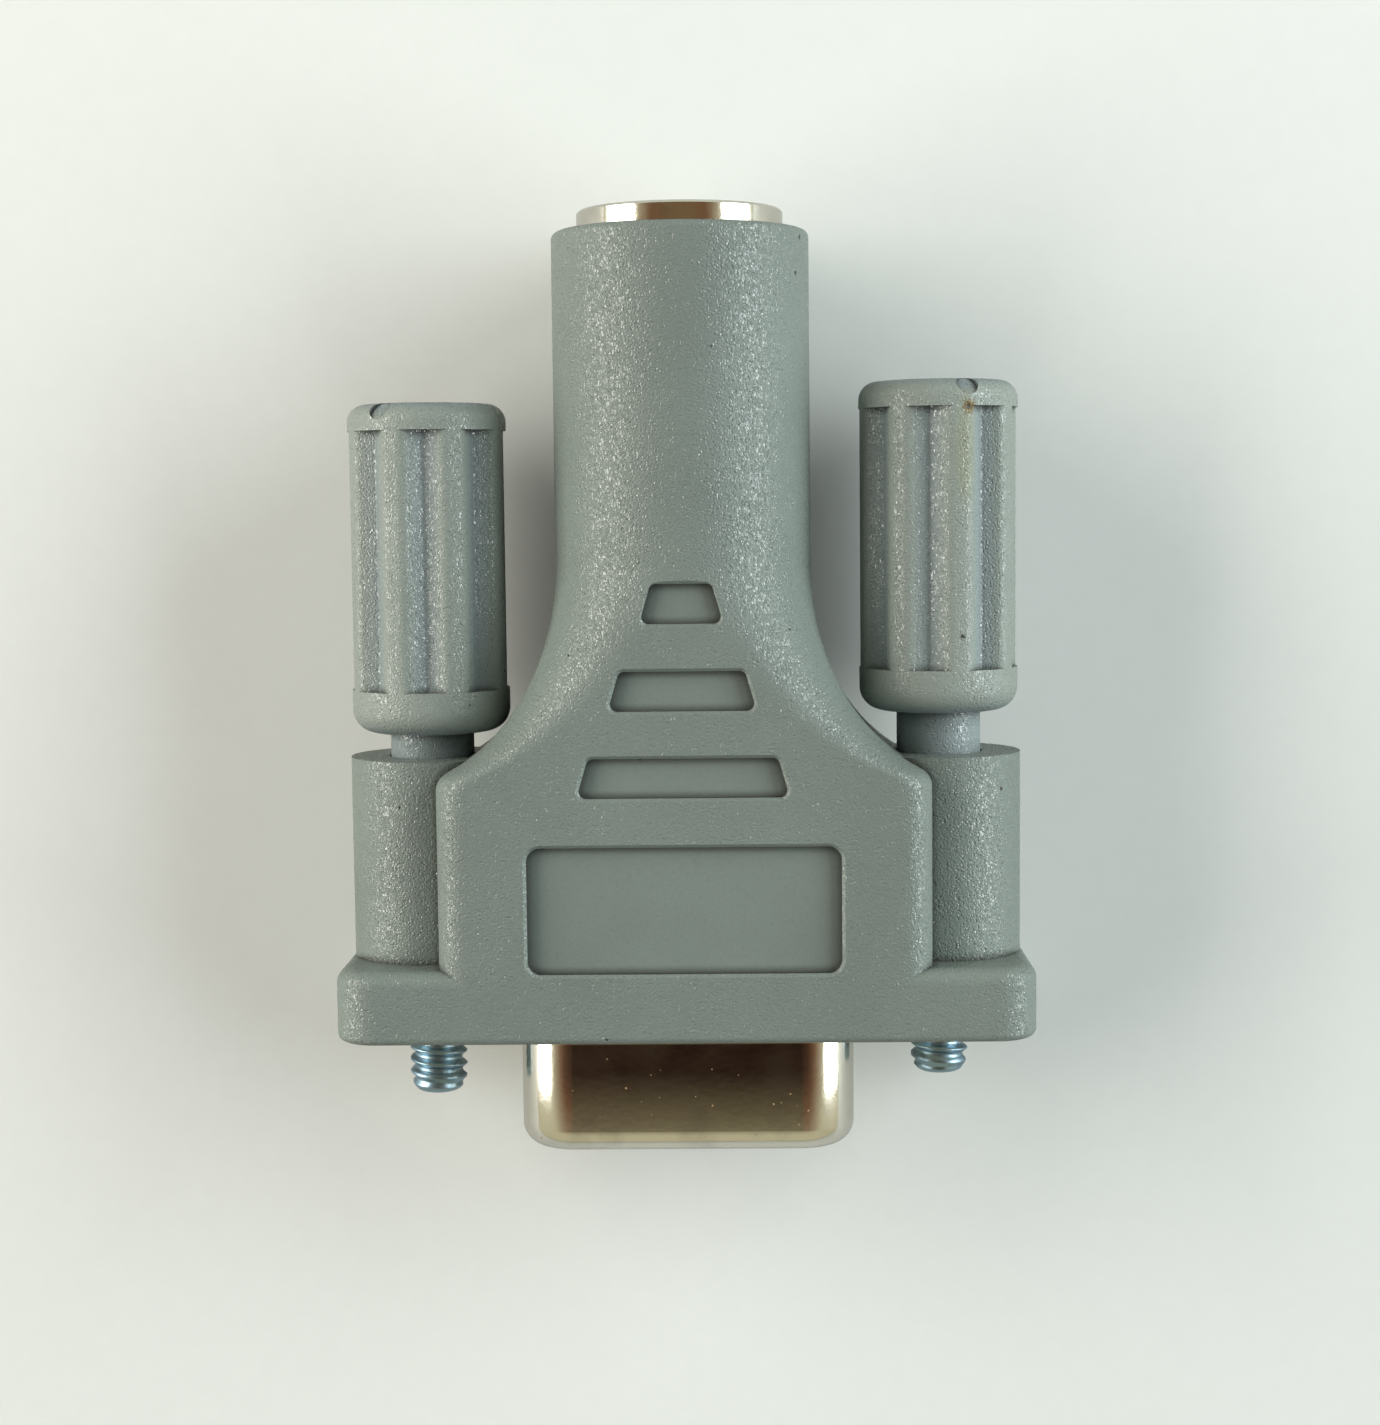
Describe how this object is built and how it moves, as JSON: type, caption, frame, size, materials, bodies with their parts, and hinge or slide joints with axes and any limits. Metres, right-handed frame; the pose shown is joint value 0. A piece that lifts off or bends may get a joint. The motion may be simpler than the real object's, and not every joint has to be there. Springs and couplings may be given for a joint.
{
  "type": "serial mouse adapter",
  "caption": "Flat moulded adapter with a D-shaped socket at one end, a round socket at the end of a flared barrel, and captive fluted thumbscrews beside it.",
  "frame": {"origin": "middle of the D socket's mating plane, halfway between the two jackscrews, at mid thickness", "axes": "+X from the left thumbscrew to the right one, +Y from the D socket towards the round socket, +Z out of the face with the recessed windows"},
  "size_m": [0.0336, 0.0456, 0.0126],
  "materials": {
    "grey_hood": "fine blasted grain",
    "grey_grip": "fine blasted grain",
    "natural_plastic": "waxy",
    "black_insulator": "satin",
    "plated_shell": "nickel plating, satin",
    "plated_ring": "nickel plating, satin",
    "plated_eyelet": "nickel plating, satin",
    "zinc_screw": "blue zinc plating",
    "contact_metal": "flash plated",
    "wire_receive_cover": "satin",
    "wire_transmit_cover": "satin",
    "wire_ready_cover": "satin",
    "wire_ground_cover": "satin",
    "wire_request_cover": "satin"
  },
  "bodies": {
    "housing": {"moulded_hood": "grey_hood", "inner_premould": "natural_plastic", "din_shield": "plated_ring", "din_insulator": "black_insulator", "din_base": "black_insulator", "dsub_front_shell": "plated_shell", "dsub_rear_shell": "plated_shell", "dsub_front_insulator": "black_insulator", "dsub_rear_insulator": "black_insulator", "left_eyelet": "plated_eyelet", "right_eyelet": "plated_eyelet", "dsub_contact_1": "contact_metal", "dsub_contact_2": "contact_metal", "dsub_contact_3": "contact_metal", "dsub_contact_4": "contact_metal", "dsub_contact_5": "contact_metal", "dsub_contact_6": "contact_metal", "dsub_contact_7": "contact_metal", "dsub_contact_8": "contact_metal", "dsub_contact_9": "contact_metal", "din_contact_1": "contact_metal", "din_contact_2": "contact_metal", "din_contact_3": "contact_metal", "din_contact_4": "contact_metal", "din_contact_5": "contact_metal", "din_contact_6": "contact_metal", "wire_receive": "wire_receive_cover", "wire_transmit": "wire_transmit_cover", "wire_ready": "wire_ready_cover", "wire_ground": "wire_ground_cover", "wire_request": "wire_request_cover"},
    "left_thumbscrew": {"left_grip": "grey_grip", "left_screw": "zinc_screw"},
    "right_thumbscrew": {"right_grip": "grey_grip", "right_screw": "zinc_screw"}
  },
  "joints": [
    {"name": "left_thumbscrew_turn", "type": "hinge", "parent": "housing", "child": "left_thumbscrew", "pos_m": [-0.01249, 0, 0], "axis": [0, 1, 0], "continuous": true},
    {"name": "right_thumbscrew_turn", "type": "hinge", "parent": "housing", "child": "right_thumbscrew", "pos_m": [0.01249, 0, 0], "axis": [0, 1, 0], "continuous": true}
  ]
}
